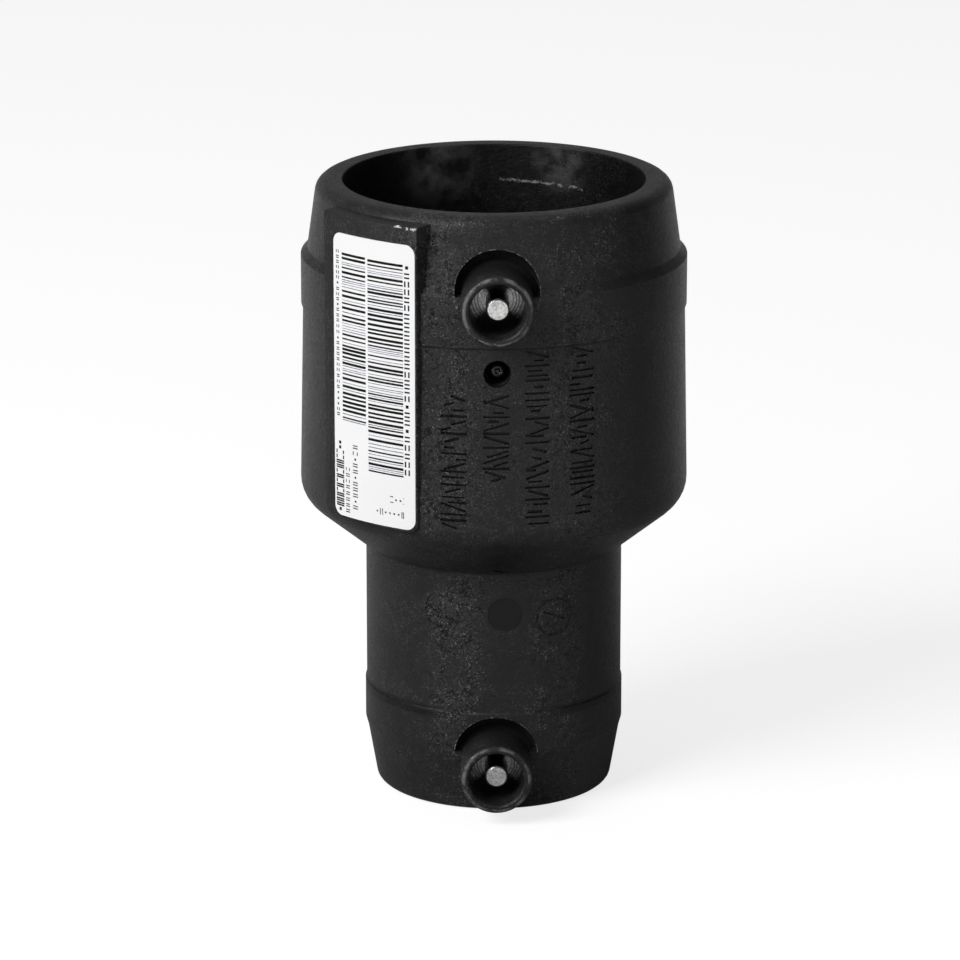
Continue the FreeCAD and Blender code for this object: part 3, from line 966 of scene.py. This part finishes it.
def indicator_plastic():
    """Glossy black plastic with an uneven face."""
    g = finish("indicator_plastic")
    grain = g.noise(0.5, 2.0)
    g.feed(Base_Color=g.blend(grain, grey(0.003), grey(0.006)), Specular_IOR_Level=0.5)
    g.feed(Roughness=g.range(grain, 0.3, 0.7, 0.10, 0.22))
    g.feed(Normal=g.bump(g.noise(0.7, 2.0), 0.22, 0.9))
    return g.owner


def tinned_metal(name, t):
    """Tinned metal, bright on the pin's face and at the flange's sides, and darkened above and below as a
    painted reflection.
    """
    g = finish(name)
    grain = g.noise(0.35, 2.0)
    x, y, z = g.axes()
    up = z - t["z"] * MM
    off_axis = x * x + up * up
    side = (x * x) / (off_axis + 0.0000000001)
    tip = t["front"] - PIN_RECESS
    behind = g.range(y, -(tip - 0.2) * MM, -(tip - 0.45) * MM)
    # painted reflection: the flange darkened above and below, where it mirrors the dark shroud wall
    dark_reflection = behind * g.range(side + g.noise(0.9, 2.0) * 0.25, 0.85, 0.6)
    mottle = g.range(g.noise(0.5, 3.0, 0.7), 0.35, 0.65)
    bright = g.blend(mottle, (0.42, 0.42, 0.42, 1), (0.86, 0.86, 0.85, 1))
    turning = g.node("ShaderNodeMath", {"operation": "SINE"}, [off_axis.root() * (2 * math.pi / (0.5 * MM))])
    bright = g.blend(behind * g.range(turning, -0.3, 0.7, 0.35, 0.9), bright, (0.16, 0.16, 0.16, 1))
    g.feed(Base_Color=g.blend(dark_reflection, bright, (0.03, 0.03, 0.03, 1)))
    g.feed(Metallic=1.0, Roughness=g.range(grain, 0.3, 0.7, 0.22, 0.38))
    g.feed(Normal=g.bump(g.noise(0.12, 2.0), 0.01, 0.4))
    return g.owner


def winding_wire():
    """Copper-nickel resistance wire."""
    g = finish("winding_wire")
    grain = g.noise(0.6, 2.0)
    g.feed(Base_Color=g.blend(grain, (0.50, 0.38, 0.28, 1), (0.66, 0.54, 0.43, 1)))
    g.feed(Metallic=1.0, Roughness=g.range(grain, 0.3, 0.7, 0.3, 0.45))
    return g.owner


def label_film():
    """White satin film."""
    g = finish("label_film")
    tone = g.noise(9.0, 2.0)
    g.feed(Base_Color=g.blend(tone, (0.87, 0.87, 0.87, 1), (0.91, 0.91, 0.915, 1)))
    g.feed(Roughness=g.range(tone, 0.3, 0.7, 0.42, 0.5))
    return g.owner


def printing_ink(name, thin, thick):
    """Printing ink that covers a little unevenly."""
    g = finish(name)
    g.feed(Base_Color=g.blend(g.range(g.noise(0.6, 2.0), 0.35, 0.65), thick, thin), Specular_IOR_Level=0.1)
    g.feed(Roughness=g.range(g.noise(0.3, 2.0), 0.3, 0.7, 0.6, 0.8))
    return g.owner


def dress(piece, material, slot=None):
    """Gives a piece its material, and a piece with a slot its body too."""
    piece.data.materials.clear()
    piece.data.materials.append(material)
    if slot:
        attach(piece, BODY)


def camera():
    view = bpy.data.cameras.new("camera")
    view.lens = CAMERA_LENS
    view.sensor_width = 36.0
    holder = bpy.data.objects.new("camera", view)
    bpy.context.scene.collection.objects.link(holder)
    holder.location = CAMERA_PLACE
    holder.rotation_euler = (CAMERA_TILT, 0, CAMERA_TURN)
    bpy.context.scene.camera = holder


def lamp(name, place, aim, size, watts):
    light = bpy.data.lights.new(name, "AREA")
    light.shape = "RECTANGLE"
    light.size, light.size_y = size
    light.energy = watts
    holder = bpy.data.objects.new(name, light)
    bpy.context.scene.collection.objects.link(holder)
    holder.location = place
    holder.rotation_euler = (Vector(aim) - Vector(place)).to_track_quat("-Z", "Y").to_euler()


def world_light():
    """A white world to the camera, and a soft one to the object, darker overhead."""
    world = bpy.data.worlds.new("studio")
    bpy.context.scene.world = world
    g = Graph(world, "Background", "Generated")
    seen = g.node("ShaderNodeLightPath", {}, {}, "Is Camera Ray")
    overhead = g.range(g.axes()[2], 0.1, 0.55, 1.0, 0.4)
    g.feed(Strength=seen + (1 - seen) * g.round_about(STUDIO_LEVELS) * overhead * 0.44, Color=grey(1))


def floor_finish():
    """A pale floor that keeps the shadow, and that isn't seen from below."""
    g = finish("floor")
    seen = g.node("ShaderNodeLightPath", {}, {}, "Is Camera Ray")
    mirrored = g.node("ShaderNodeLightPath", {}, {}, "Is Glossy Ray")
    reach = g.node("ShaderNodeVectorMath", {"operation": "LENGTH"}, [g.places], 1)
    spread = g.range(reach, 0.03, 0.28, 0.1, 1.0)
    glow = seen * 0.78 + mirrored * spread * g.round_about(STUDIO_LEVELS) * 0.65
    above = 1 - g.node("ShaderNodeNewGeometry", {}, {}, "Backfacing")
    g.feed(Base_Color=grey(0.3), Roughness=0.9, Specular_IOR_Level=0.0)
    g.feed(Emission_Color=glow, Emission_Strength=1.0, Alpha=above)
    return g.owner


def studio():
    """Soft lamps, a world and a floor that are paler in front and behind and darker at the sides."""
    lamp("key", (-0.7, -0.6, 0.75), (0, 0, 0.05), (0.6, 0.6), 13.6)
    lamp("top", (0.0, 0.3, 1.0), (0, 0, 0.05), (0.8, 0.8), 1.2)
    world_light()
    deselect()
    bpy.ops.mesh.primitive_plane_add(size=6, location=(0, 0, 0))
    floor = bpy.context.active_object
    floor.name = "floor"
    floor.data.materials.append(floor_finish())


camera()
studio()

shell = moulding()
dress(shell, black_polyethylene(), "black_polyethylene")
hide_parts("body")

for pin_name, pin_place in (("upper", UPPER), ("lower", LOWER)):
    pin = contact_pin(pin_name + "_pin", pin_place)
    dress(pin, tinned_metal("tinned_" + pin_name, pin_place), "tinned_brass")
    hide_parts(pin_name + "_contact_pin")

coil = winding()
dress(coil, winding_wire(), "resistance_wire")
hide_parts("heating_wire")

marker = indicator()
dress(marker, indicator_plastic(), "black_polyethylene")
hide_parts("fusion_indicator")

film = label_sheet()
dress(film, label_film(), "label_film")
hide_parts("label")

dark_marks, pale_marks = print_marks()
black_ink = printing_ink("black_ink", grey(0.012), grey(0.003))
thin_ink = printing_ink("thin_ink", (0.35, 0.36, 0.42, 1), (0.10, 0.105, 0.16, 1))
for print_name, marks, ink in (("dark_print", dark_marks, black_ink), ("pale_print", pale_marks, thin_ink)):
    inked = printed(print_name, marks)
    dress(inked, ink)
    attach(inked, BODY)

bpy.context.scene.view_settings.view_transform = "Standard"
